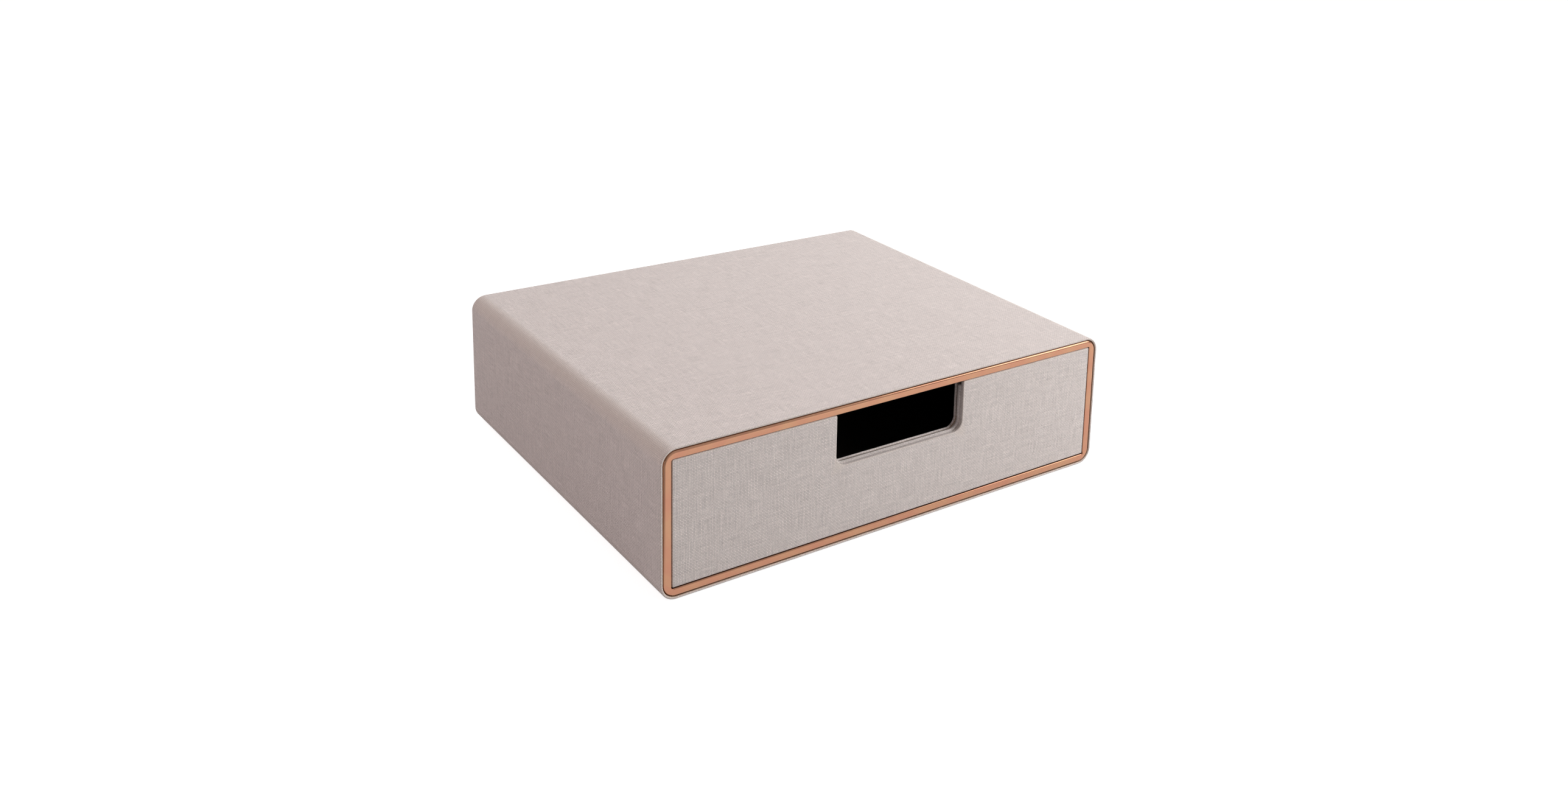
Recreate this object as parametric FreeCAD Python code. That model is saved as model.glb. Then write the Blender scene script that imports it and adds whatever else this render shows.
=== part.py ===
import FreeCAD
import Part
import os

# A low desk box for papers: a cloth-covered board case, open at the front, with a metal frame
# round its mouth and one drawer that is pulled by a finger notch.
# Millimetres. X runs across the front, +Y into the box and +Z up. The origin is the bottom centre.

# ---- Case ----
case_width = 330.0
case_depth = 290.0           # from the face of the metal frame to the back
case_height = 93.0           # from the underside of the base felt to the top
corner_radius = 10.0         # the four long edges, outside the cloth
case_board = 6.0
cloth = 0.5
cloth_edge_radius = 0.8      # where the cloth turns over an edge
felt_thickness = 0.3
felt_setback = 1.5           # from the cloth's front and back faces, so that the felt is out of sight
liner_thickness = 0.3
back_turn_in = 5.0           # width of the wrap's edge that lies on the back
back_seam = 0.2              # between that edge and the back sheet

# ---- Metal frame ----
trim_inset = 1.8             # cloth left showing outside the frame, gap included
trim_gap = 0.3               # between the cloth lip and the frame
trim_proud = 0.2             # the frame's face stands this far in front of the cloth
trim_reach = 0.4             # the frame's inner edge past the case's inner faces
trim_thickness = 2.4
trim_outer_round = 2.1
trim_inner_round = 0.8
trim_inner_corner = 1.0

# ---- Drawer ----
front_recess = 0.5           # drawer front behind the frame's face
front_gap = 0.4              # visible gap between the frame and the drawer front
front_board = 2.5
tray_board = 5.5
tray_floor_board = 3.0
tray_side_gap = 0.7          # tray to liner, each side
tray_floor_gap = 0.3         # tray to floor liner
tray_rear_gap = 0.4          # tray to back liner when closed
tray_drop = 3.2              # tray rim below the top of the drawer front
tray_turn_in = 12.0          # cloth turned down inside the tray
underside_thickness = 0.3
lining_thickness = 0.4
notch_width = 96.5
notch_depth = 33.5           # from the top edge of the drawer front
notch_radius = 7.0

# ---- Planes along Y ----
front = -case_depth / 2
back = case_depth / 2
cover_front = front + trim_proud
lip_front = cover_front + cloth
trim_seat = front + trim_thickness
board_back = back - cloth
back_board_front = board_back - case_board
liner_back_front = back_board_front - liner_thickness
panel_front = front + front_recess
panel_board_front = panel_front + cloth
panel_back = panel_board_front + front_board
tray_back = liner_back_front - tray_rear_gap

# ---- Insets from the cloth's outer faces ----
wall_inset = cloth + case_board
liner_inset = wall_inset + liner_thickness
frame_inset = wall_inset + trim_reach
panel_inset = frame_inset + front_gap
lip_inset = trim_inset - trim_gap
tray_wall = cloth + tray_board + cloth

# ---- Heights and half widths ----
half_width = case_width / 2
cover_bottom = felt_thickness
panel_top = case_height - panel_inset
tray_half_width = half_width - liner_inset - tray_side_gap
tray_bottom = cover_bottom + liner_inset + tray_floor_gap
tray_board_bottom = tray_bottom + underside_thickness
tray_floor = tray_board_bottom + tray_floor_board
tray_rim = panel_top - tray_drop
turn_in_bottom = tray_rim - tray_turn_in
notch_bottom = panel_top - notch_depth


def block(x_low, x_high, y_low, y_high, z_low, z_high):
    """A box given by its two ends along each axis."""
    corner = FreeCAD.Vector(x_low, y_low, z_low)
    return Part.makeBox(x_high - x_low, y_high - y_low, z_high - z_low, corner)


def rounded_prism(half, z_low, z_high, radius, y_low, y_high):
    """A bar along Y whose section is a rectangle with rounded corners."""
    bar = block(-half, half, y_low, y_high, z_low, z_high)
    if radius <= 0:
        return bar
    return bar.makeFillet(radius, edges_along_y(bar))


def edges_along_y(shape):
    """The straight edges that run from the front to the back of a bar."""
    found = []
    for edge in shape.Edges:
        ends = edge.Vertexes
        run = ends[1].Point.sub(ends[0].Point)
        if abs(run.y) > abs(run.x) + abs(run.z):
            found.append(edge)
    return found


def case_prism(inset, y_low, y_high, radius=None):
    """A bar of the case's section, drawn in from the cloth's outer faces on all four sides."""
    if radius is None:
        radius = corner_radius - inset
    half = half_width - inset
    return rounded_prism(half, cover_bottom + inset, case_height - inset, radius, y_low, y_high)


def case_ring(outer_inset, inner_inset, y_low, y_high, inner_radius=None):
    """What lies between two bars of the case's section."""
    outer = case_prism(outer_inset, y_low, y_high)
    return outer.cut(case_prism(inner_inset, y_low, y_high, inner_radius))


def edges_at(shape, y):
    """The edges that lie wholly in the plane at y."""
    flat = []
    for edge in shape.Edges:
        box = edge.BoundBox
        if abs(box.YMin - y) < 1e-4 and abs(box.YMax - y) < 1e-4:
            flat.append(edge)
    return flat


def split_by_inset(edges, inset):
    """Two lists: the edges outside a bar of the case's section at this inset, and those within it."""
    x_limit = half_width - inset
    z_low = cover_bottom + inset
    z_high = case_height - inset
    outside = []
    within = []
    for edge in edges:
        point = edge.valueAt((edge.FirstParameter + edge.LastParameter) / 2)
        if abs(point.x) < x_limit and z_low < point.z < z_high:
            within.append(edge)
        else:
            outside.append(edge)
    return outside, within


def mitre_wedge(start, end, outward):
    """A prism along Y that holds one wall of the case, from mitre to mitre."""
    reach = wall_inset + corner_radius
    along = end.sub(start).normalize()
    far_end = end.add((along.add(outward)).multiply(reach))
    far_start = start.add((outward.sub(along)).multiply(reach))
    wire = Part.makePolygon([start, end, far_end, far_start, start])
    return Part.Face(wire).extrude(FreeCAD.Vector(0, case_depth, 0))


def case_walls():
    """Four boards mitred together, with a lip left round the rabbet for the metal frame."""
    tube = case_ring(cloth, wall_inset, trim_seat, board_back, 0)
    lip = case_ring(cloth, lip_inset, lip_front, trim_seat)
    shell = tube.fuse(lip).removeSplitter()
    x_in = half_width - wall_inset
    z_in_low = cover_bottom + wall_inset
    z_in_high = case_height - wall_inset
    upper_left = FreeCAD.Vector(-x_in, front, z_in_high)
    upper_right = FreeCAD.Vector(x_in, front, z_in_high)
    lower_right = FreeCAD.Vector(x_in, front, z_in_low)
    lower_left = FreeCAD.Vector(-x_in, front, z_in_low)
    wedges = {
        "case_top_board": mitre_wedge(upper_left, upper_right, FreeCAD.Vector(0, 0, 1)),
        "case_right_board": mitre_wedge(upper_right, lower_right, FreeCAD.Vector(1, 0, 0)),
        "case_bottom_board": mitre_wedge(lower_right, lower_left, FreeCAD.Vector(0, 0, -1)),
        "case_left_board": mitre_wedge(lower_left, upper_left, FreeCAD.Vector(-1, 0, 0)),
    }
    return {name: shell.common(wedge) for name, wedge in wedges.items()}


def case_back_board():
    """The back, let in between the four walls."""
    return case_prism(wall_inset, back_board_front, board_back, 0)


def case_cover():
    """The cloth round the case, turned over the front lip and onto the back."""
    skin = case_ring(0, cloth, cover_front, back)
    front_lip = case_ring(cloth, lip_inset, cover_front, lip_front)
    rear_edge = case_ring(cloth, back_turn_in, board_back, back)
    cover = skin.fuse([front_lip, rear_edge]).removeSplitter()
    front_edges, _ = split_by_inset(edges_at(cover, cover_front), cloth)
    rear_edges, _ = split_by_inset(edges_at(cover, back), cloth)
    return cover.makeFillet(cloth_edge_radius, front_edges + rear_edges)


def back_cover():
    """The cloth sheet that closes the back."""
    return case_prism(back_turn_in + back_seam, board_back, back)


def base_felt():
    """The sheet under the flat of the bottom, on which the box stands."""
    half = half_width - corner_radius
    return block(-half, half, cover_front + felt_setback, back - felt_setback, 0, felt_thickness)


def front_trim():
    """The metal frame round the mouth of the case, bedded in its rabbet."""
    frame = case_ring(trim_inset, frame_inset, front, trim_seat, trim_inner_corner)
    outer_edges, _ = split_by_inset(edges_at(frame, front), (trim_inset + frame_inset) / 2)
    frame = frame.makeFillet(trim_outer_round, outer_edges)
    flat_middle = (trim_inset + trim_outer_round + frame_inset) / 2
    _, inner_edges = split_by_inset(edges_at(frame, front), flat_middle)
    return frame.makeFillet(trim_inner_round, inner_edges)


def case_liners():
    """Black paper on the five inner faces of the case."""
    x_board = half_width - wall_inset
    x_paper = half_width - liner_inset
    z_floor = cover_bottom + wall_inset
    z_floor_paper = cover_bottom + liner_inset
    z_top = case_height - wall_inset
    z_top_paper = case_height - liner_inset
    y_low = trim_seat
    y_high = back_board_front
    return {
        "liner_floor": block(-x_board, x_board, y_low, y_high, z_floor, z_floor_paper),
        "liner_top": block(-x_board, x_board, y_low, y_high, z_top_paper, z_top),
        "liner_left": block(-x_board, -x_paper, y_low, y_high, z_floor_paper, z_top_paper),
        "liner_right": block(x_paper, x_board, y_low, y_high, z_floor_paper, z_top_paper),
        "liner_back": block(-x_paper, x_paper, liner_back_front, y_high, z_floor_paper, z_top_paper),
    }


def notch_prism(grow, y_low, y_high):
    """The finger notch as a bar along Y that runs out above the drawer, grown by some amount."""
    radius = notch_radius + grow
    half = notch_width / 2 + grow
    return rounded_prism(half, notch_bottom - grow, panel_top + 2 * radius, radius, y_low, y_high)


def front_panel_board():
    """The board of the drawer front, cut out for the cloth-lined notch."""
    panel = case_prism(panel_inset + cloth, panel_board_front, panel_back, 0)
    return panel.cut(notch_prism(cloth, panel_board_front, panel_back))


def front_panel_cover():
    """The cloth over the face of the drawer front, its edges and the notch."""
    outside = case_prism(panel_inset, panel_front, panel_back, 0)
    outside = outside.cut(notch_prism(0, panel_front, panel_back))
    outside = outside.makeFillet(cloth_edge_radius, edges_at(outside, panel_front))
    return outside.cut(front_panel_board())


def tray_block(inset, z_low, z_high):
    """A box of the tray's plan, drawn in from its outer faces on all four sides."""
    half = tray_half_width - inset
    return block(-half, half, panel_back + inset, tray_back - inset, z_low, z_high)


def tray_boards():
    """The tray's bottom and four walls, butted: front and back stand between the sides."""
    x_out = tray_half_width - cloth
    x_in = x_out - tray_board
    y_out_front = panel_back + cloth
    y_in_front = y_out_front + tray_board
    y_out_back = tray_back - cloth
    y_in_back = y_out_back - tray_board
    z_low = tray_board_bottom
    z_high = tray_rim - cloth
    front_wall = block(-x_in, x_in, y_out_front, y_in_front, z_low, z_high)
    return {
        "tray_front_board": front_wall.cut(notch_prism(cloth, y_out_front, y_in_front)),
        "tray_back_board": block(-x_in, x_in, y_in_back, y_out_back, z_low, z_high),
        "tray_left_board": block(-x_out, -x_in, y_out_front, y_out_back, z_low, z_high),
        "tray_right_board": block(x_in, x_out, y_out_front, y_out_back, z_low, z_high),
        "tray_bottom_board": block(-x_in, x_in, y_in_front, y_in_back, z_low, tray_floor),
    }


def tray_cover():
    """The cloth round the tray's walls, over the rim, round the notch and turned in."""
    y_wall_front = panel_back + cloth
    y_wall_back = y_wall_front + tray_board
    y_inside = panel_back + tray_wall
    under_rim = tray_rim - cloth
    skin = tray_block(0, tray_bottom, tray_rim).cut(tray_block(cloth, tray_bottom, under_rim))
    rim_band = tray_block(cloth + tray_board, turn_in_bottom, under_rim)
    below_rim = tray_block(0, tray_bottom, under_rim)
    edging = notch_prism(cloth, y_wall_front, y_wall_back)
    facing = notch_prism(tray_turn_in, y_wall_back, y_inside)
    binding = edging.fuse(facing).common(below_rim)
    cover = skin.fuse([rim_band, binding])
    cover = cover.cut(tray_block(tray_wall, tray_bottom, tray_rim))
    return cover.cut(notch_prism(0, panel_back, y_inside)).removeSplitter()


def tray_underside():
    """The paper sheet on the underside of the tray, which slides on the floor liner."""
    return tray_block(cloth, tray_bottom, tray_board_bottom)


def tray_linings():
    """The lining of the tray's floor and, below the turned-in cloth, of its walls."""
    x_board = tray_half_width - cloth - tray_board
    x_in = x_board - lining_thickness
    y_front = panel_back + cloth + tray_board
    y_front_in = y_front + lining_thickness
    y_back = tray_back - cloth - tray_board
    y_back_in = y_back - lining_thickness
    z_floor = tray_floor + lining_thickness
    z_high = turn_in_bottom
    front_sheet = block(-x_in, x_in, y_front, y_front_in, z_floor, z_high)
    return {
        "lining_floor": block(-x_board, x_board, y_front, y_back, tray_floor, z_floor),
        "lining_left": block(-x_board, -x_in, y_front, y_back, z_floor, z_high),
        "lining_right": block(x_in, x_board, y_front, y_back, z_floor, z_high),
        "lining_front": front_sheet.cut(notch_prism(tray_turn_in, y_front, y_front_in)),
        "lining_back": block(-x_in, x_in, y_back_in, y_back, z_floor, z_high),
    }


def all_nodes():
    """Every piece of the box by its node's name."""
    nodes = {
        "case_back_board": case_back_board(),
        "case_cover": case_cover(),
        "back_cover": back_cover(),
        "base_felt": base_felt(),
        "front_trim": front_trim(),
        "front_panel_board": front_panel_board(),
        "front_panel_cover": front_panel_cover(),
        "tray_cover": tray_cover(),
        "tray_underside": tray_underside(),
    }
    nodes.update(case_walls())
    nodes.update(case_liners())
    nodes.update(tray_boards())
    nodes.update(tray_linings())
    return nodes


os.makedirs("parts", exist_ok=True)
for name, shape in all_nodes().items():
    if len(shape.Solids) != 1 or not shape.isValid():
        print(f"{name} is not one sound solid")
    shape.Solids[0].exportStep(f"parts/{name}.step")
    print(f"{name}: {shape.Volume / 1000:.1f} cm3")
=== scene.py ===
import math

import bmesh
import bpy
from mathutils import Matrix, Vector
from mathutils.geometry import delaunay_2d_cdt, intersect_point_line


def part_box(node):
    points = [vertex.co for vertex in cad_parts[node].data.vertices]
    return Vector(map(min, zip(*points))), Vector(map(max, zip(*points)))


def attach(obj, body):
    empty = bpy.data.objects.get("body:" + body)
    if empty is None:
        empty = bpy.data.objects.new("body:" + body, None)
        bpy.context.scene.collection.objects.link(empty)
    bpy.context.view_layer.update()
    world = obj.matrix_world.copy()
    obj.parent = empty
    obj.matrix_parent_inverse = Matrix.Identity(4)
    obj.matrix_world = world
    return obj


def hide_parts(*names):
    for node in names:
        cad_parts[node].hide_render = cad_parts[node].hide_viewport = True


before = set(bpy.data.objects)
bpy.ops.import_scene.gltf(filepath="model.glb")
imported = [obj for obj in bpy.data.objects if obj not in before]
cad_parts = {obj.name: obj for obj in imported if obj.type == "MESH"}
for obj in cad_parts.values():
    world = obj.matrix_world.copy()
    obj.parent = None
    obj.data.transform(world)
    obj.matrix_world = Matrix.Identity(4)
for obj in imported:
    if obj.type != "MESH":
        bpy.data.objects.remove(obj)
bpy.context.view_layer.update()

# A cloth-covered file box with a metal frame round its mouth and one drawer with a finger notch.
# Metres, in the frame of the CAD model: X across the front, +Y into the box, +Z up.

MM = 0.001
THREADS = "threads"          # UV map: each face corner's place on the cloth as it was cut
# There the weave is calmer, as cloth stretched round an edge, and the cloth is painted lighter and yellower:
# a painted highlight.
STRETCH_AND_HIGHLIGHT = "stretch_and_highlight"                # point attribute: up to 1 where cloth bends round an edge
SAME_PLACE = 1e-7            # metres: points nearer than this are one point

# ---- Cloth ----
CLOTH = 0.5 * MM             # thickness
CORNER_RADIUS = 10 * MM      # the case's long edges
EDGE_ROLL = 0.6 * MM         # cloth turning over an edge of board
CUT_ROLL = 0.3 * MM          # the softer edge where cloth ends
LIP_WIDTH = 1.5 * MM         # cloth outside the metal frame
LIP_ROLL = 0.9 * MM          # round of the lip's edge beside the frame
BACK_TURN_IN = 5.0 * MM      # the case's cloth turned onto its back

# ---- Metal frame ----
FRAME_GAP = 0.1 * MM         # between the frame and the cloth lip
FRAME_OUTER_ROUND = 2.1 * MM
FRAME_INNER_ROUND = 0.9 * MM
FRAME_INNER_CORNER = 1.0 * MM    # the frame's corners as seen from the front, beside the drawer

# ---- Drawer ----
FRONT_GAP = 0.4 * MM         # between the frame and the drawer front
NOTCH_HALF = 48.25 * MM      # half the notch's width
NOTCH_DEPTH = 33.5 * MM      # below the top of the drawer front
NOTCH_RADIUS = 7.0 * MM
NOTCH_TOP_RADIUS = 1.2 * MM
PANEL_CORNER = 1.0 * MM
PANEL_ROLL = 0.7 * MM        # cloth turning over the drawer front's edges and into the notch
PANEL_REAR_ROLL = 0.7 * MM
TRAY_CORNER = 1.5 * MM
TRAY_WALL = 6.5 * MM
TRAY_TURN_IN = 12.0 * MM     # the tray's cloth turned down inside
TRAY_ROLL = 0.8 * MM
TRAY_SKIRT = 6.0 * MM        # the rolled rim's mesh reaches this far down the outside
PATCH_HALF = 60.0 * MM       # half the stretch of the tray's front that holds the notch

# Folds of the cloth along the notch's edge: height, depth behind the tray's front, and reach.
FRONT_RIDGE = (0.75 * MM, 1.5 * MM, 1.7 * MM)
GROOVE = (1.0 * MM, 4.1 * MM, 0.9 * MM)
REAR_RIDGE = (0.5 * MM, 5.3 * MM, 0.7 * MM)

# ---- Mesh steps ----
CORNER_STEPS = 16
ROLL_STEPS = 6
FRAME_STEPS = 14
RIM_STEPS = 24
INNER_RIM_STEPS = 8
FILL_SPACING = 8.0 * MM      # between the points that fill a flat face
FILL_CLEARANCE = FILL_SPACING / 3    # from those points to the face's edge
INSIDE_ONLY = 1              # what the triangulation gives: the triangles inside the outline
LARGE_FACES_FIRST = 100      # the normals' weighting: large faces stay flat, rolled edges take the turn

case_low, case_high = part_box("case_cover")
trim_low, trim_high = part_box("front_trim")
back_low, back_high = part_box("back_cover")
panel_low, panel_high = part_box("front_panel_cover")
tray_low, tray_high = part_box("tray_cover")
notch_bottom = panel_high.z - NOTCH_DEPTH
frame_outer = LIP_WIDTH + FRAME_GAP                  # the metal frame's sides, from the case's outside
frame_inner = panel_low.x - case_low.x - FRONT_GAP


# ---- Outlines ----

def left_of(run):
    """The direction a quarter turn to the left of a run."""
    return Vector((-run.y, run.x))


def run_between(start, end):
    """The direction from one corner to the next."""
    return (Vector(end[:2]) - Vector(start[:2])).normalized()


def round_corner(before, corner, after, inset):
    """The points of one corner of a line that is moved to its left by an inset."""
    into = run_between(before, corner)
    out = run_between(corner, after)
    turn = math.atan2(into.x * out.y - into.y * out.x, into.dot(out))
    side = 1 if turn > 0 else -1
    sharp = Vector(corner[:2]) + (left_of(into) + left_of(out)) * inset / (1 + into.dot(out))
    radius = max(corner[2] - side * inset, 0)
    start = sharp - into * radius * math.tan(abs(turn) / 2)
    centre = start + left_of(into) * side * radius
    points = []
    for step in range(CORNER_STEPS + 1):
        turned = Matrix.Rotation(turn * step / CORNER_STEPS, 2) @ (start - centre)
        points.append(centre + turned)
    return points


def outline(corners, inset, closed=True):
    """A line of straight runs and round corners, moved to its left, the inside, by an inset.

    Each corner is (across, up, radius). Moving in makes a left turn tighter and a right turn wider.
    """
    points = []
    last = len(corners) - 1
    for i, corner in enumerate(corners):
        if closed or 0 < i < last:
            points += round_corner(corners[i - 1], corner, corners[(i + 1) % (last + 1)], inset)
        else:
            run = run_between(*(corners[:2] if i == 0 else corners[-2:]))
            points.append(Vector(corner[:2]) + left_of(run) * inset)
    return points


def bends(corners, closed=True):
    """How far round a corner each point of an outline is: 0 on the straights, 1 in mid corner."""
    weights = []
    for i in range(len(corners)):
        if closed or 0 < i < len(corners) - 1:
            weights += [math.sin(math.pi * step / CORNER_STEPS) for step in range(CORNER_STEPS + 1)]
        else:
            weights.append(0.0)
    return weights


def lengths_along(line, closed):
    """The distance of each point along a line, and back to its start if it is closed."""
    points = [Vector(p[:2]) for p in line]
    ends = points[1:] + points[:1] if closed else points[1:]
    lengths = [0.0]
    for start, end in zip(points, ends):
        lengths.append(lengths[-1] + (end - start).length)
    return lengths


def rectangle(low, high, radius):
    """The corners of an upright rectangle in (x, z), anticlockwise as seen from the front."""
    places = [(low.x, low.z), (high.x, low.z), (high.x, high.z), (low.x, high.z)]
    return [(x, z, radius) for x, z in places]


def roll(start, end, bulge):
    """A quarter round in profile, as (inset, y, worn). bulge is the corner that it rounds off."""
    start, end, bulge = Vector(start), Vector(end), Vector(bulge)
    centre = start + end - bulge
    rows = []
    for step in range(ROLL_STEPS + 1):
        angle = math.pi / 2 * step / ROLL_STEPS
        point = centre + (start - centre) * math.cos(angle) + (end - centre) * math.sin(angle)
        rows.append((point.x, point.y, math.sin(2 * angle)))
    return rows


# ---- Meshes ----

class Skin:
    """A mesh in the making, with the place of every face corner on the flat cloth."""

    def __init__(self):
        self.points = []
        self.stretch_and_highlight = []
        self.faces = []
        self.threads = []

    def row(self, points, stretch_and_highlight=None):
        """Adds a row of points and gives their numbers."""
        first = len(self.points)
        self.points += points
        self.stretch_and_highlight += stretch_and_highlight or [0.0] * len(points)
        return list(range(first, len(self.points)))

    def face(self, corners, threads):
        """Adds one face, with each corner's place on the flat cloth."""
        self.faces.append(tuple(corners))
        self.threads.append(tuple(tuple(place) for place in threads))

    def bridge(self, rows, flats, closed):
        """Faces between each row and the next. A closed row has one more flat place at its end."""
        for near, far, near_flat, far_flat in zip(rows, rows[1:], flats, flats[1:]):
            for i in range(len(near) if closed else len(near) - 1):
                j = (i + 1) % len(near)
                corners = (near[i], near[j], far[j], far[i])
                self.face(corners, (near_flat[i], near_flat[i + 1], far_flat[i + 1], far_flat[i]))

    def fill(self, row, line, y):
        """Triangles inside a closed row that stands upright at one depth."""
        distinct = [i for i in range(len(line)) if (line[i] - line[i - 1]).length > SAME_PLACE]
        edge = [line[i] for i in distinct]
        grid = grid_inside(edge)
        numbers = [row[i] for i in distinct] + self.row(upright(grid, y))
        flat = edge + grid
        found = delaunay_2d_cdt(flat, [], [list(range(len(edge)))], INSIDE_ONLY, SAME_PLACE, True)
        _, _, triangles, origins, _, _ = found
        for triangle in triangles:
            corners = [origins[i][0] for i in triangle]
            middle = (flat[corners[0]] + flat[corners[1]] + flat[corners[2]]) / 3
            if encloses(edge, middle):
                self.face([numbers[i] for i in corners], [flat[i] for i in corners])

    def finish(self, name, material):
        """Makes the object, closed, with its normals outward and smooth."""
        mesh = bpy.data.meshes.new(name)
        mesh.from_pydata(self.points, [], self.faces)
        places = [value for corners in self.threads for place in corners for value in place]
        mesh.uv_layers.new(name=THREADS).data.foreach_set("uv", places)
        mesh.attributes.new(STRETCH_AND_HIGHLIGHT, "FLOAT", "POINT").data.foreach_set("value", self.stretch_and_highlight)
        tidy = bmesh.new()
        tidy.from_mesh(mesh)
        bmesh.ops.remove_doubles(tidy, verts=tidy.verts, dist=SAME_PLACE)
        bmesh.ops.dissolve_degenerate(tidy, dist=SAME_PLACE, edges=tidy.edges)
        bmesh.ops.recalc_face_normals(tidy, faces=tidy.faces)
        tidy.to_mesh(mesh)
        tidy.free()
        mesh.shade_smooth()
        mesh.materials.append(material)
        piece = bpy.data.objects.new(name, mesh)
        bpy.context.scene.collection.objects.link(piece)
        normals = piece.modifiers.new("even_normals", "WEIGHTED_NORMAL")
        normals.weight = LARGE_FACES_FIRST
        return piece


def upright(points, y):
    """Points of a line seen from the front, stood up at one depth."""
    return [(p.x, y, p.y) for p in points]


def encloses(line, point):
    """True if a point is inside a closed line."""
    inside = False
    for a, b in zip(line, line[1:] + line[:1]):
        if (a.y > point.y) != (b.y > point.y):
            if point.x < a.x + (b.x - a.x) * (point.y - a.y) / (b.y - a.y):
                inside = not inside
    return inside


def is_clear(line, point):
    """True if a point isn't close to a closed line."""
    for a, b in zip(line, line[1:] + line[:1]):
        _, share = intersect_point_line(point, a, b)
        nearest = a.lerp(b, min(max(share, 0), 1))
        if (point - nearest).length < FILL_CLEARANCE:
            return False
    return True


def grid_inside(line):
    """Evenly spaced points inside a closed line."""
    low = Vector((min(p.x for p in line), min(p.y for p in line)))
    high = Vector((max(p.x for p in line), max(p.y for p in line)))
    columns = max(1, round((high.x - low.x) / FILL_SPACING))
    rows = max(1, round((high.y - low.y) / FILL_SPACING))
    points = []
    for i in range(columns + 1):
        for j in range(rows + 1):
            point = low + (high - low) * Vector((i / columns, j / rows))
            if encloses(line, point) and is_clear(line, point):
                points.append(point)
    return points


def swept(name, material, corners, profile, corner_at=None):
    """A closed profile of (inset, y, worn) swept round a closed outline.

    corner_at gives the corner radius at an inset. Without it, corners tighten as they move in.
    """
    skin = Skin()
    along = lengths_along(outline(corners, 0), True)
    across = lengths_along(profile, True)
    corner_bends = bends(corners)
    rows = []
    for inset, y, stretch_and_highlight in profile:
        own = corners
        if corner_at:
            own = [(x, z, corner_at(inset) + inset) for x, z, _ in corners]
        points = upright(outline(own, inset), y)
        rows.append(skin.row(points, [max(stretch_and_highlight, bend) for bend in corner_bends]))
    flats = [[(s, t) for s in along] for t in across]
    skin.bridge(rows + rows[:1], flats, True)
    return skin.finish(name, material)


def sheathed(name, material, corners, face_y, rear_y, edge_roll, rear_roll=CUT_ROLL):
    """A sheet over one face of a flat panel and round its edges, with rolled front edges."""
    skin = Skin()
    into = 1 if rear_y > face_y else -1
    rolled_y = face_y + into * edge_roll
    rear_roll_y = rear_y - into * rear_roll
    outer = roll((edge_roll, face_y), (0, rolled_y), (0, face_y))
    outer += roll((0, rear_roll_y), (rear_roll, rear_y), (0, rear_y))
    if abs(rear_y - face_y) > 2 * CLOTH:
        inner_y = face_y + into * CLOTH
        under = max(CLOTH, rear_roll)
        outer += [(under, rear_y, 0), (under, rolled_y, 0), (max(edge_roll, under), inner_y, 0)]
    corner_bends = bends(corners)
    rows = []
    flats = []
    for (inset, y, stretch_and_highlight), travelled in zip(outer, lengths_along(outer, False)):
        points = outline(corners, inset)
        rows.append(skin.row(upright(points, y), [max(stretch_and_highlight, bend) for bend in corner_bends]))
        flat = outline(corners, edge_roll - travelled)
        flats.append(flat + flat[:1])
    skin.bridge(rows, flats, True)
    skin.fill(rows[0], outline(corners, edge_roll), face_y)
    skin.fill(rows[-1], outline(corners, outer[-1][0]), outer[-1][1])
    return skin.finish(name, material)


# ---- The cloth pieces ----

def case_wrap(material):
    """The cloth round the case, turned over the front lip and onto the back."""
    front, back = case_low.y, case_high.y
    rolled_front, rolled_back = front + EDGE_ROLL, back - EDGE_ROLL
    profile = [(BACK_TURN_IN, back, 0)]
    profile += roll((EDGE_ROLL, back), (0, rolled_back), (0, back))
    profile += roll((0, rolled_front), (EDGE_ROLL, front), (0, front))
    profile += roll((LIP_WIDTH - LIP_ROLL, front), (LIP_WIDTH, front + LIP_ROLL), (LIP_WIDTH, front))
    profile += [(LIP_WIDTH, front + LIP_ROLL + CLOTH, 0), (EDGE_ROLL, front + CLOTH, 0)]
    profile += [(CLOTH, rolled_front, 0), (CLOTH, rolled_back, 0)]
    profile += [(EDGE_ROLL, back - CLOTH, 0), (BACK_TURN_IN, back - CLOTH, 0)]
    corners = rectangle(case_low, case_high, CORNER_RADIUS)
    piece = swept("case_wrap", material, corners, profile)
    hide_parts("case_cover")
    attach(piece, "case")
    girth = lengths_along(outline(corners, 0), True)[-1]
    return piece


def back_sheet(material):
    """The cloth sheet that closes the back."""
    corners = rectangle(back_low, back_high, CORNER_RADIUS - BACK_TURN_IN)
    piece = sheathed("back_sheet", material, corners, back_high.y, back_low.y, CUT_ROLL)
    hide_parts("back_cover")
    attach(piece, "case")
    return piece


def notch_corners(top):
    """The notch in an edge at some height, from the right down, across and up to the left."""
    return [
        (NOTCH_HALF, top, NOTCH_TOP_RADIUS),
        (NOTCH_HALF, notch_bottom, NOTCH_RADIUS),
        (-NOTCH_HALF, notch_bottom, NOTCH_RADIUS),
        (-NOTCH_HALF, top, NOTCH_TOP_RADIUS),
    ]


def panel_corners():
    """The drawer front with its notch, anticlockwise as seen from the front."""
    left, right, low, top = panel_low.x, panel_high.x, panel_low.z, panel_high.z
    return [
        (left, low, PANEL_CORNER),
        (right, low, PANEL_CORNER),
        (right, top, PANEL_CORNER),
        *notch_corners(top),
        (left, top, PANEL_CORNER),
    ]


def panel_wrap(material):
    """The cloth over the drawer front, its edges and the edge of the notch."""
    piece = sheathed("panel_wrap", material, panel_corners(), panel_low.y, panel_high.y,
                     PANEL_ROLL, PANEL_REAR_ROLL)
    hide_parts("front_panel_cover")
    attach(piece, "drawer")
    return piece


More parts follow.
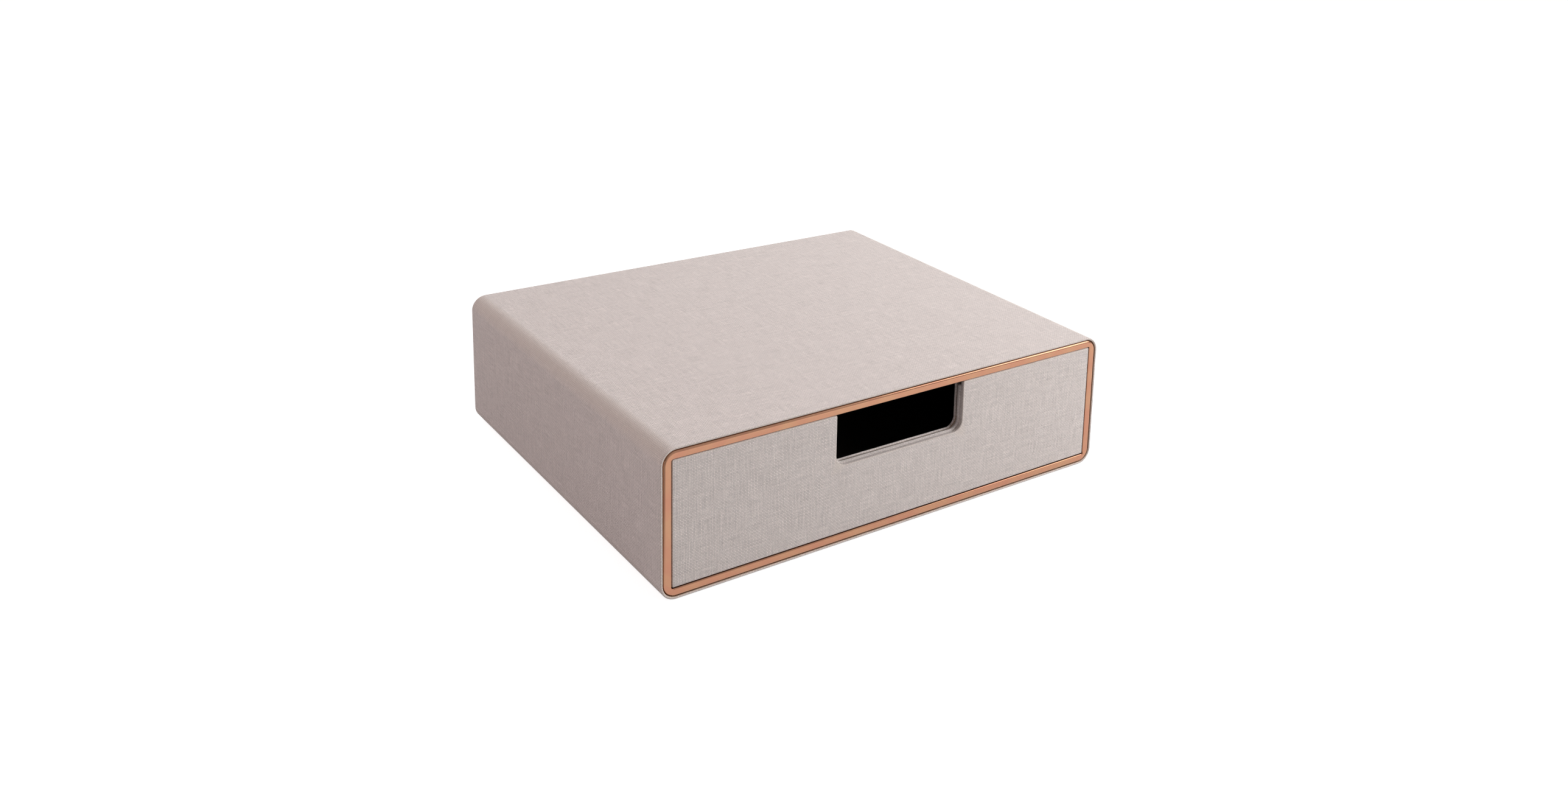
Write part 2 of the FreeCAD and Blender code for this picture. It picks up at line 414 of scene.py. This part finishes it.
def panel_turn_in(name, x_low, x_high, material):
    """The cloth turned over the top of the drawer front, down its back to the tray's rim."""
    low = Vector((x_low, 0, tray_high.z + CUT_ROLL))
    high = Vector((x_high, 0, panel_high.z - CUT_ROLL))
    corners = rectangle(low, high, CUT_ROLL)
    piece = sheathed(name, material, corners, panel_high.y + CLOTH + CUT_ROLL, panel_high.y, CUT_ROLL)
    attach(piece, "drawer")
    return piece


def hump(depth, height, centre, reach):
    """A smooth bump along the depth: its height at its centre, and 0 from its reach on."""
    share = min(abs(depth - centre) / reach, 1)
    return height * math.cos(math.pi / 2 * share) ** 2


def rim_drop(depth, width, radius):
    """How far a rounded rim of some width falls below its top at one depth."""
    past = max(radius - min(depth, width - depth), 0)
    return radius - math.sqrt(max(radius ** 2 - past ** 2, 0))


def notch_relief(depth):
    """How far the folds in the notch's edge lower it: a front ridge, a groove and a thin rear ridge."""
    return hump(depth, *GROOVE) - hump(depth, *FRONT_RIDGE) - hump(depth, *REAR_RIDGE)


def tray_rows():
    """The tray cloth's profile as (depth, plain drop, drop at the notch), out, over and back under."""
    rows = [(0, TRAY_SKIRT, TRAY_SKIRT)]
    for step in range(RIM_STEPS + 1):
        depth = TRAY_WALL * (1 - math.cos(math.pi * step / RIM_STEPS)) / 2
        drop = rim_drop(depth, TRAY_WALL, TRAY_ROLL)
        rows.append((depth, drop, drop + notch_relief(depth)))
    rows.append((TRAY_WALL, TRAY_TURN_IN, TRAY_TURN_IN))
    rows.append((TRAY_WALL - CLOTH, TRAY_TURN_IN, TRAY_TURN_IN))
    hollow = TRAY_WALL - 2 * CLOTH
    for step in range(INNER_RIM_STEPS + 1):
        depth = hollow * (1 + math.cos(math.pi * step / INNER_RIM_STEPS)) / 2
        drop = CLOTH + rim_drop(depth, hollow, TRAY_ROLL - CLOTH)
        rows.append((CLOTH + depth, drop, drop))
    rows.append((CLOTH, TRAY_SKIRT, TRAY_SKIRT))
    return rows


def blend_lines(plain, notched, shares):
    """Each point of one line moved towards the same point of another by its own share."""
    return [a.lerp(b, share) for a, b, share in zip(plain, notched, shares)]


def tray_walls_part(skin, rows, travelled):
    """Adds the stretch of tray cloth that runs round the sides and back."""
    left, right, front, rear = tray_low.x, tray_high.x, tray_low.y, tray_high.y
    path = [
        (PATCH_HALF, front, 0),
        (right, front, TRAY_CORNER),
        (right, rear, TRAY_CORNER),
        (left, rear, TRAY_CORNER),
        (left, front, TRAY_CORNER),
        (-PATCH_HALF, front, 0),
    ]
    along = lengths_along(outline(path, 0, False), False)
    path_bends = bends(path, False)
    heights = [tray_low.z] + [tray_high.z - drop for _, drop, _ in rows] + [tray_low.z]
    depths = [0] + [depth for depth, _, _ in rows] + [CLOTH]
    bottom_travel = tray_high.z - tray_low.z - TRAY_SKIRT
    travels = [-bottom_travel] + travelled + [travelled[-1] + bottom_travel]
    made = []
    flats = []
    for height, depth, travel in zip(heights, depths, travels):
        points = outline(path, depth, False)
        made.append(skin.row([(p.x, p.y, height) for p in points], path_bends))
        level = tray_high.z - TRAY_SKIRT + travel
        flats.append([(PATCH_HALF + s, level) for s in along])
    skin.bridge(made + made[:1], flats + flats[:1], False)


def tray_notch_part(skin, rows, travelled):
    """Adds the stretch of tray cloth at the front that holds the notch."""
    rim = tray_high.z
    path = [(PATCH_HALF, rim, 0), *notch_corners(rim), (-PATCH_HALF, rim, 0)]
    # The notch's folds grow round its top corners, and the plain rim has none.
    ramp = [step / CORNER_STEPS for step in range(CORNER_STEPS + 1)]
    shares = [0] + ramp + [1] * (2 * len(ramp)) + ramp[::-1] + [0]
    made = []
    flats = []
    for (depth, drop, notch_drop), travel in zip(rows, travelled):
        line = blend_lines(outline(path, drop, False), outline(path, notch_drop, False), shares)
        made.append(skin.row(upright(line, tray_low.y + depth)))
        flats.append(outline(path, TRAY_SKIRT - travel, False))
    skin.bridge(made, flats, False)
    skirt = outline(path, TRAY_SKIRT, False)
    feet = [Vector((-PATCH_HALF, tray_low.z)), Vector((PATCH_HALF, tray_low.z))]
    bottoms = []
    for row, depth in ((made[0], 0), (made[-1], CLOTH)):
        y = tray_low.y + depth
        foot = skin.row(upright(feet, y))
        bottoms.append(foot)
        skin.fill(foot + row, feet + skirt, y)
    outer, inner = bottoms
    skin.face([outer[0], outer[1], inner[1], inner[0]], [feet[0], feet[1], feet[1], feet[0]])


def tray_wrap(material):
    """The cloth round the tray's walls, over the rim, round the notch and turned in."""
    skin = Skin()
    rows = tray_rows()
    travelled = lengths_along([(depth, drop) for depth, drop, _ in rows], False)
    tray_walls_part(skin, rows, travelled)
    tray_notch_part(skin, rows, travelled)
    piece = skin.finish("tray_wrap", material)
    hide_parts("tray_cover")
    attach(piece, "drawer")
    return piece


# ---- The metal frame ----

def frame_corner(inset):
    """The frame's corner radius at one inset from the case: round outside, nearly square inside."""
    flat = frame_outer + FRAME_OUTER_ROUND
    if inset <= flat:
        return CORNER_RADIUS - inset
    share = (inset - flat) / (frame_inner - flat)
    return (CORNER_RADIUS - flat) * (1 - share) + FRAME_INNER_CORNER * share


def frame_rail(material):
    """The metal frame: a flat bar with a large round outside and a small one inside."""
    front, seat = trim_low.y, trim_high.y
    profile = [(frame_outer, seat, 0)]
    for step in range(FRAME_STEPS + 1):
        angle = math.pi / 2 * step / FRAME_STEPS
        inset = frame_outer + FRAME_OUTER_ROUND * (1 - math.cos(angle))
        profile.append((inset, front + FRAME_OUTER_ROUND * (1 - math.sin(angle)), 0))
    rounded = (frame_inner - FRAME_INNER_ROUND, front), (frame_inner, front + FRAME_INNER_ROUND)
    profile += roll(*rounded, (frame_inner, front))
    profile += [(frame_inner, seat, 0)]
    corners = rectangle(case_low, case_high, CORNER_RADIUS)
    piece = swept("frame_rail", material, corners, profile, frame_corner)
    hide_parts("front_trim")
    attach(piece, "case")
    return piece


# ---- Materials ----

def screen(red, green, blue):
    """A colour given as it shows on a screen, 0 to 255, as the linear values that a shader takes.

    The numbers are those of the sRGB curve.
    """
    linear = []
    for value in (red, green, blue):
        share = value / 255
        linear.append(share / 12.92 if share <= 0.04045 else ((share + 0.055) / 1.055) ** 2.4)
    return (*linear, 1)


WHITE = (1, 1, 1, 1)
MIDDLE = 0.5                 # the mean of a noise, and halfway between two colours
TONE_EDGES = (0.35, 0.65)    # noise that shows as the one colour and as the other


class Maker:
    """Builds the nodes of one material or of the world.

    Methods without a line of their own add the Blender node that they are named after.
    """

    def __init__(self, owner):
        owner.use_nodes = True
        self.owner = owner
        self.tree = owner.node_tree
        self.tree.nodes.clear()

    def add(self, kind, feeds=(), **settings):
        """Adds a node, with what feeds each socket by the socket's name or number."""
        node = self.tree.nodes.new(kind)
        for key, value in settings.items():
            setattr(node, key, value)
        for socket, value in dict(feeds).items():
            self.feed(node.inputs[socket], value)
        return node

    def feed(self, socket, value):
        """Links another node's output to a socket, or sets a plain value there."""
        if isinstance(value, bpy.types.NodeSocket):
            self.tree.links.new(value, socket)
        else:
            socket.default_value = value

    def operate(self, kind, operation, values):
        """The result of one operation on values, in the order of the node's sockets."""
        return self.add(kind, enumerate(values), operation=operation).outputs[0]

    def math(self, operation, *values):
        return self.operate("ShaderNodeMath", operation, values)

    def vector(self, operation, *values):
        return self.operate("ShaderNodeVectorMath", operation, values)

    def scale(self, vector, factor):
        feeds = {0: vector, "Scale": factor}
        return self.add("ShaderNodeVectorMath", feeds, operation="SCALE").outputs[0]

    def join(self, x, y, z):
        return self.add("ShaderNodeCombineXYZ", {"X": x, "Y": y, "Z": z}).outputs[0]

    def split(self, vector):
        return self.add("ShaderNodeSeparateXYZ", {0: vector}).outputs

    def threads(self):
        """A point's place on the flat cloth, or along and across the metal rail."""
        return self.add("ShaderNodeUVMap", uv_map=THREADS).outputs["UV"]

    def place(self, output="Object"):
        """A point's place in the object's own frame, or a direction in the world."""
        return self.add("ShaderNodeTexCoord").outputs[output]

    def noise(self, place, scale, detail, output="Fac"):
        feeds = {"Vector": place, "Scale": scale, "Detail": detail}
        return self.add("ShaderNodeTexNoise", feeds).outputs[output]

    def grain(self, across, along, scales, seed=0.0, detail=1.0):
        """Noise with one scale for each of two directions. Each seed gives another pattern."""
        across_scale, along_scale = scales
        across = self.math("MULTIPLY", across, across_scale)
        along = self.math("MULTIPLY", along, along_scale)
        return self.noise(self.join(across, along, seed), 1.0, detail)

    def stretch(self, value, low, high, to_low, to_high):
        """A value's range low to high spread over to_low to to_high, and held at its ends."""
        feeds = {"Value": value, "From Min": low, "From Max": high, "To Min": to_low, "To Max": to_high}
        return self.add("ShaderNodeMapRange", feeds).outputs["Result"]

    # The Mix node's sockets go by number, because those for numbers and colours share their names.

    def between(self, share, first, second):
        """A number that goes from the first to the second as the share goes from 0 to 1."""
        return self.add("ShaderNodeMix", {0: share, 2: first, 3: second}).outputs[0]

    def mix(self, share, first, second, blend="MIX"):
        """A colour that goes from the first to the second as the share goes from 0 to 1."""
        feeds = {0: share, 6: first, 7: second}
        return self.add("ShaderNodeMix", feeds, data_type="RGBA", blend_type=blend).outputs[2]

    def bump(self, height, distance):
        return self.add("ShaderNodeBump", {"Height": height, "Distance": distance}).outputs[0]

    def shader(self, feeds):
        """Gives the material a Principled shader with these feeds."""
        return self.surface(self.add("ShaderNodeBsdfPrincipled", feeds).outputs[0])

    def surface(self, shader):
        """Ends the material with a shader and gives the material."""
        self.add("ShaderNodeOutputMaterial", {"Surface": shader})
        return self.owner


# ---- Woven cloth ----
# Across the cloth, warp threads are counted along u and weft threads along v, one to a unit.

THREAD_PITCH = 0.97 * MM
WANDER = 1.3 * MM            # how far the threads wander
WANDER_SCALE = 90.0          # per metre
CLOTH_LIGHT = screen(242, 234, 230)
CLOTH_DARK = screen(190, 177, 172)
# Painted highlight: the warm colour that edges and rounded corners are tinted towards.
EDGE_HIGHLIGHT_COLOUR = screen(244, 238, 226)

# A plain weave: where warp threads ride over, weft threads ride under, half a turn apart.
WARP_PHASE = 0.5
WEFT_PHASE = 1.5
CROWN_HEIGHT = 0.8           # of a thread's round back, where riding over the others is 1
MEAN_CROWN = math.pi / 4     # the mean of crown() over a thread
FIBRE_SCALE = 2.2            # per thread
FIBRE_HEIGHT = 0.5           # of its fibres, likewise
RELIEF = 0.08 * MM

# Scales of noise in two directions, per thread. A large one makes each thread differ from the next.
WARP_GRAIN = (7.31, 0.16)
WEFT_GRAIN = (0.16, 7.31)
CROSSING_GRAIN = (7.31, 5.17)
LINE_GRAIN = (1.4, 0.06)
PATCH_GRAIN = (0.09, 0.04)
WEFT_TONE_SEED = 40.0
CROSSING_SEED = 70.0
WARP_LINE_SEED = 3.0
WEFT_LINE_SEED = 19.0
PATCH_SEED_STEP = 5.0        # from the seed of the lines to that of their patches

YARN_SPLIT = 0.09            # how far warp and weft differ, as a share of the two yarn colours
SLUBS = 0.2                  # change of colour from thread to thread and along each, likewise
SPECKS = 0.25                # change of brightness from crossing to crossing
FUZZ = 0.5                   # change of brightness over a thread's fibres
GAPS = 0.47                  # fall in brightness from a thread's middle to the gaps beside it
UNEVEN = 0.25                # change of brightness from thread to thread
PATCH_EDGES = (0.38, 0.62)   # noise at which lines are at their faintest and most marked
LINE_FAINT = 0.7
LINE_MARKED = 1.15
STRETCHED_EDGE_CONTRAST = 0.4          # what is left of the weave's contrast where cloth is stretched round an edge or corner
# Painted highlight: edges and rounded corners are made lighter by this much, and yellower by this share of
# the edge colour.
EDGE_HIGHLIGHT_BRIGHTNESS = 1.06
EDGE_HIGHLIGHT_TINT = 0.35


def thread_place(make):
    """A point's place counted in threads, along threads that wander a little."""
    flat = make.threads()
    wave = make.noise(flat, WANDER_SCALE, detail=3.0, output="Color")
    drift = make.scale(make.vector("SUBTRACT", wave, (MIDDLE,) * 3), WANDER)
    return make.vector("DIVIDE", make.vector("ADD", flat, drift), (THREAD_PITCH,) * 3)


def crown(make, place):
    """The round back of a thread: 0 at its sides and 1 along its middle."""
    across = make.math("FRACT", place)
    other_side = make.math("SUBTRACT", 1.0, across)
    return make.math("SQRT", make.math("MULTIPLY", make.math("MULTIPLY", across, other_side), 4.0))


def thread_height(make, back, own, other, phase):
    """A thread's height: its round back, plus 1 where it rides over the others and 0 under them."""
    turn = make.math("MULTIPLY", make.math("ADD", make.math("ADD", other, own), phase), math.pi)
    lift = make.math("MULTIPLY_ADD", make.math("COSINE", turn), 0.5, 0.5)
    return make.math("ADD", lift, make.math("MULTIPLY", back, CROWN_HEIGHT))


def thread_lines(make, back, across, along, seed):
    """Uneven threads and the darker gaps between them, more marked in long patches."""
    uneven = make.grain(across, along, LINE_GRAIN, seed, detail=0.0)
    patches = make.grain(across, along, PATCH_GRAIN, seed + PATCH_SEED_STEP)
    marked = make.stretch(patches, *PATCH_EDGES, LINE_FAINT, LINE_MARKED)
    gaps = make.math("MULTIPLY", make.math("SUBTRACT", back, MEAN_CROWN), GAPS)
    both = make.math("MULTIPLY_ADD", make.math("SUBTRACT", uneven, MIDDLE), UNEVEN, gaps)
    return make.math("MULTIPLY", both, marked)


def yarn_colour(make, u, v, warp, weft, weft_shows):
    """The colour of the thread on top, with slubs along it. The warp is a little lighter."""
    warp_tone = make.grain(warp, v, WARP_GRAIN)
    weft_tone = make.grain(u, weft, WEFT_GRAIN, WEFT_TONE_SEED)
    tone = make.math("SUBTRACT", make.between(weft_shows, warp_tone, weft_tone), MIDDLE)
    share = make.math("MULTIPLY_ADD", tone, SLUBS, MIDDLE + YARN_SPLIT)
    share = make.math("MULTIPLY_ADD", weft_shows, -2 * YARN_SPLIT, share)
    return make.mix(share, CLOTH_DARK, CLOTH_LIGHT)


def stretched_cloth_with_highlight(make, yarn, shade):
    """The yarn in its shade. Where cloth is stretched round an edge or corner its weave is calmer, and there
    it is painted lighter and slightly yellow, a painted highlight.
    """
    stretch_and_highlight = make.add("ShaderNodeAttribute", attribute_name=STRETCH_AND_HIGHLIGHT).outputs["Fac"]
    calm = make.stretch(stretch_and_highlight, 0.0, 1.0, 1.0, STRETCHED_EDGE_CONTRAST)
    level = make.stretch(stretch_and_highlight, 0.0, 1.0, 1.0, EDGE_HIGHLIGHT_BRIGHTNESS)
    colour = make.scale(yarn, make.math("MULTIPLY_ADD", shade, calm, level))
    return make.mix(make.math("MULTIPLY", stretch_and_highlight, EDGE_HIGHLIGHT_TINT), colour, EDGE_HIGHLIGHT_COLOUR, "MULTIPLY")


def woven_cloth():
    """Linen-look plain weave: fine threads both ways, more marked in patches, with slubs."""
    make = Maker(bpy.data.materials.new("woven_cloth"))
    place = thread_place(make)
    u, v, _ = make.split(place)
    warp, weft = make.math("FLOOR", u), make.math("FLOOR", v)
    warp_back, weft_back = crown(make, u), crown(make, v)
    warp_height = thread_height(make, warp_back, warp, v, WARP_PHASE)
    weft_height = thread_height(make, weft_back, weft, u, WEFT_PHASE)
    height = make.math("MAXIMUM", warp_height, weft_height)
    weft_shows = make.math("GREATER_THAN", weft_height, warp_height)
    fibres = make.noise(place, FIBRE_SCALE, detail=2.0)
    crossing = make.grain(warp, weft, CROSSING_GRAIN, CROSSING_SEED, detail=0.0)

    lines = make.math("ADD", thread_lines(make, warp_back, u, v, WARP_LINE_SEED),
                      thread_lines(make, weft_back, v, u, WEFT_LINE_SEED))
    specks = make.math("ADD", make.math("MULTIPLY", crossing, SPECKS), make.math("MULTIPLY", fibres, FUZZ))
    shade = make.math("ADD", lines, make.math("SUBTRACT", specks, MIDDLE * (SPECKS + FUZZ)))
    yarn = yarn_colour(make, u, v, warp, weft, weft_shows)
    return make.shader({
        "Base Color": stretched_cloth_with_highlight(make, yarn, shade),
        "Roughness": 0.9,
        "Specular IOR Level": 0.25,
        "Sheen Weight": 0.15,
        "Sheen Roughness": 0.5,
        "Normal": make.bump(make.math("MULTIPLY_ADD", fibres, FIBRE_HEIGHT, height), RELIEF),
    })


# ---- Metal ----

ROSE_GOLD_PINK = screen(179, 127, 104)
ROSE_GOLD_TAN = screen(181, 137, 108)
DRAWN_SCALES = (18.0, 2400.0, 1.0)   # per metre, along and across the rails
DRAWN_DEPTH = 0.01 * MM
SMUDGE_SCALE = 60.0
METAL_ROUGHNESS = (0.11, 0.17)       # between the drawn marks and in them
SMUDGE_ROUGHNESS = 0.05              # what a smudge adds
MARK_EDGES = (0.3, 0.7)              # noise that counts as no mark and as a full one
SMUDGE_EDGES = (0.4, 0.7)


def rose_gold():
    """Polished rose-gold metal with faint marks drawn along the rails."""
    make = Maker(bpy.data.materials.new("rose_gold_metal"))
    flat = make.threads()
    drawn = make.noise(make.vector("MULTIPLY", flat, DRAWN_SCALES), 1.0, detail=2.0)
    smudges = make.noise(flat, SMUDGE_SCALE, detail=3.0)
    tint = make.stretch(smudges, *TONE_EDGES, 0.0, 1.0)
    marks = make.stretch(drawn, *MARK_EDGES, *METAL_ROUGHNESS)
    smears = make.stretch(smudges, *SMUDGE_EDGES, 0.0, SMUDGE_ROUGHNESS)
    return make.shader({
        "Base Color": make.mix(tint, ROSE_GOLD_PINK, ROSE_GOLD_TAN),
        "Metallic": 1.0,
        "Roughness": make.math("ADD", marks, smears),
        "Normal": make.bump(drawn, DRAWN_DEPTH),
    })


# ---- Board, felt, paper and lining ----

CLOUD_SIZE = 40              # of the clouds of tone, against the fibres'
CLOUD_SHARE = 0.4            # of the tone
FIBRE_SHARE = 0.6


def fibrous(name, dark, light, scale, rough, relief):
    """Pressed fibres: board, felt, paper or flock, by its two colours and its grain."""
    make = Maker(bpy.data.materials.new(name))
    place = make.place()
    fibres = make.noise(place, scale, detail=4.0)
    clouds = make.noise(place, scale / CLOUD_SIZE, detail=2.0)
    tone = make.math("MULTIPLY_ADD", clouds, CLOUD_SHARE, make.math("MULTIPLY", fibres, FIBRE_SHARE))
    share = make.stretch(tone, *TONE_EDGES, 0.0, 1.0)
    return make.shader({
        "Base Color": make.mix(share, dark, light),
        "Roughness": rough,
        "Normal": make.bump(fibres, relief),
    })


def dress(prefixes, material):
    """Gives the CAD nodes whose names start with a prefix their material."""
    for name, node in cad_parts.items():
        if name.startswith(prefixes):
            for slot in node.material_slots:
                slot.material = material


# ---- Floor and studio ----

FLOOR_REACH = 6.0            # metres from the object to each side
FLOOR_DARK = screen(186, 186, 186)
FLOOR_LIGHT = screen(190, 190, 190)
FLOOR_SCALE = 3.0
FLOOR_GLOW = 0.82            # beside the object, where the floor keeps the shadow
FLOOR_FADE = (0.4, 1.6)      # metres from the object over which the floor's glow grows to white
DARK_CARD = (-0.25, -0.17)   # on the left the metal mirrors a dark card, which gives it an edge
CARD_GLOW = 0.12

AMBIENT = 0.03
CEILING_FRONT = 0.72         # how bright the studio looks overhead in metal, beside a white backdrop
CEILING_BACK = 0.10
CEILING_RISES = (0.0, 0.12)  # from the horizon up, where the backdrop turns into ceiling
CEILING_TURNS = (-0.6, 0.1)  # from the front right to the back left, where it darkens
TURN_LEFT = 0.6              # the direction in which it darkens
TURN_BACK = 0.8


def seen_directly(make):
    """1 for rays from the camera, in a reflection or through glass, and 0 for light on the object."""
    path = make.add("ShaderNodeLightPath").outputs
    seen = make.math("MAXIMUM", path["Is Camera Ray"], path["Is Glossy Ray"])
    return make.math("MAXIMUM", seen, path["Is Transmission Ray"])


def camera_ray(make):
    """1 for rays straight from the camera, and 0 for all others."""
    return make.add("ShaderNodeLightPath").outputs["Is Camera Ray"]


def pale_floor():
    """White to the camera and in metal, apart from the shadow and, in metal, a dark card on the left."""
    make = Maker(bpy.data.materials.new("pale_floor"))
    place = make.place()
    tone = make.mix(make.noise(place, FLOOR_SCALE, detail=2.0), FLOOR_DARK, FLOOR_LIGHT)
    diffuse = make.add("ShaderNodeBsdfDiffuse", {"Color": tone}).outputs[0]
    away = make.add("ShaderNodeVectorMath", {0: place}, operation="LENGTH").outputs["Value"]
    glow = make.stretch(away, *FLOOR_FADE, FLOOR_GLOW, 1.0)
    rightward, _, _ = make.split(place)
    mirrored = make.math("MULTIPLY", glow, make.stretch(rightward, *DARK_CARD, CARD_GLOW, 1.0))
    shown = make.between(camera_ray(make), mirrored, glow)
    strength = make.math("MULTIPLY", seen_directly(make), shown)
    glowing = make.add("ShaderNodeEmission", {"Color": WHITE, "Strength": strength}).outputs[0]
    return make.surface(make.add("ShaderNodeAddShader", {0: diffuse, 1: glowing}).outputs[0])


def stage_floor():
    """The flat floor under the object."""
    corners = [(x * FLOOR_REACH, y * FLOOR_REACH, 0) for x, y in ((-1, -1), (1, -1), (1, 1), (-1, 1))]
    mesh = bpy.data.meshes.new("floor")
    mesh.from_pydata(corners, [], [(0, 1, 2, 3)])
    mesh.materials.append(pale_floor())
    floor = bpy.data.objects.new("floor", mesh)
    bpy.context.scene.collection.objects.link(floor)


def studio_world():
    """White to the camera, a faint even light on the object, and in metal a ceiling that darkens."""
    world = bpy.data.worlds.new("studio")
    bpy.context.scene.world = world
    make = Maker(world)
    rightward, backward, upward = make.split(make.place("Generated"))
    turned = make.math("MULTIPLY_ADD", rightward, -TURN_LEFT, make.math("MULTIPLY", backward, TURN_BACK))
    ceiling = make.stretch(turned, *CEILING_TURNS, CEILING_FRONT, CEILING_BACK)
    backdrop = make.stretch(upward, *CEILING_RISES, 1.0, ceiling)
    shown = make.math("MAXIMUM", backdrop, camera_ray(make))
    strength = make.math("MULTIPLY_ADD", seen_directly(make), make.math("SUBTRACT", shown, AMBIENT), AMBIENT)
    background = make.add("ShaderNodeBackground", {"Color": WHITE, "Strength": strength}).outputs[0]
    make.add("ShaderNodeOutputWorld", {"Surface": background})


# ---- Lamps ----

TOP_AIM = (0, 0, 0.05)
FRONT_AIM = (0.1, -0.14, 0.05)
BACK_AIM = (0, 0.14, 0.05)
LEFT_AIM = (-0.1, 0, 0.05)
PLAIN_LIGHT = (1, 1, 1)
PINK_LIGHT = (1.0, 0.865, 0.865)


def softbox(name, place, aim, size, power, tint=PLAIN_LIGHT, mirrored=False):
    """A soft rectangular lamp that faces a point. Metal shows it only where it is mirrored."""
    light = bpy.data.lights.new(name, "AREA")
    light.color = tint
    light.shape = "RECTANGLE"
    light.size, light.size_y = size
    light.energy = power
    lamp = bpy.data.objects.new(name, light)
    bpy.context.scene.collection.objects.link(lamp)
    lamp.location = place
    lamp.visible_glossy = mirrored
    lamp.rotation_euler = (Vector(aim) - Vector(place)).to_track_quat("-Z", "Y").to_euler()


# ---- Camera ----

IMAGE_WIDTH = 2576                       # pixels, as are the next four
IMAGE_HEIGHT = 1311
FOCAL_PIXELS = 2337
AXIS_RIGHT = 1543                        # where the lens axis meets the image
AXIS_DOWN = 203
SENSOR_WIDTH = 36.0                      # millimetres
NEAREST = 0.01                           # metres: what is nearer isn't drawn
CAMERA_PLACE = (-0.4943, -0.7998, 0.4448)
CAMERA_HEADING = math.radians(38.095)    # right of straight ahead
CAMERA_PITCH = math.radians(-12.663)
CAMERA_ROLL = math.radians(2.393)


def photograph_camera():
    """The photograph's view, with its lens axis away from the middle of the image."""
    data = bpy.data.cameras.new("camera")
    data.sensor_width = SENSOR_WIDTH
    data.sensor_fit = "HORIZONTAL"
    data.lens = FOCAL_PIXELS * SENSOR_WIDTH / IMAGE_WIDTH
    data.shift_x = (IMAGE_WIDTH / 2 - AXIS_RIGHT) / IMAGE_WIDTH
    data.shift_y = (AXIS_DOWN - IMAGE_HEIGHT / 2) / IMAGE_WIDTH
    data.clip_start = NEAREST
    camera = bpy.data.objects.new("camera", data)
    bpy.context.scene.collection.objects.link(camera)
    heading = Matrix.Rotation(-CAMERA_HEADING, 4, "Z")
    pitch = Matrix.Rotation(math.pi / 2 + CAMERA_PITCH, 4, "X")
    roll_turn = Matrix.Rotation(CAMERA_ROLL, 4, "Z")
    camera.matrix_world = Matrix.Translation(CAMERA_PLACE) @ heading @ pitch @ roll_turn
    bpy.context.scene.camera = camera


# ---- The studio ----

bpy.context.scene.view_settings.view_transform = "Standard"
photograph_camera()
stage_floor()
studio_world()
softbox("key", (0.7, 0.25, 0.95), TOP_AIM, (0.85, 0.85), 7.1)
softbox("front_fill", (0.75, -1.0, 0.55), FRONT_AIM, (1.2, 0.8), 10.8)
softbox("back_fill", (-0.4, 1.3, 0.7), BACK_AIM, (1.0, 0.8), 4.2)
softbox("rail_light", (1.0, -0.74, 0.76), FRONT_AIM, (0.6, 0.6), 4.0, mirrored=True)
softbox("left_fill", (-1.2, 0, 0.9), LEFT_AIM, (1.4, 1.4), 9.0, tint=PINK_LIGHT)

# ---- The object ----

cloth = woven_cloth()
metal = rose_gold()
board = fibrous("pressed_board", screen(150, 118, 88), screen(184, 152, 118),
                scale=900, rough=0.85, relief=0.05 * MM)
felt = fibrous("grey_felt", screen(108, 104, 100), screen(140, 136, 132),
               scale=1500, rough=0.95, relief=0.2 * MM)
paper = fibrous("black_paper", screen(20, 18, 18), screen(32, 29, 29),
                scale=1200, rough=0.75, relief=0.02 * MM)
lining = fibrous("black_lining", screen(30, 26, 26), screen(46, 40, 40),
                 scale=2200, rough=0.95, relief=0.1 * MM)

dress(("case_", "tray_", "front_panel_"), board)
dress(("liner_", "tray_underside"), paper)
dress(("lining_",), lining)
dress(("base_felt",), felt)

notch_edge = NOTCH_HALF + NOTCH_TOP_RADIUS
turn_ins = [
    panel_turn_in("panel_turn_in_left", panel_low.x + CLOTH, -notch_edge, cloth),
    panel_turn_in("panel_turn_in_right", notch_edge, panel_high.x - CLOTH, cloth),
]
covers = [case_wrap(cloth), back_sheet(cloth), panel_wrap(cloth), tray_wrap(cloth)]
frame_rail(metal)
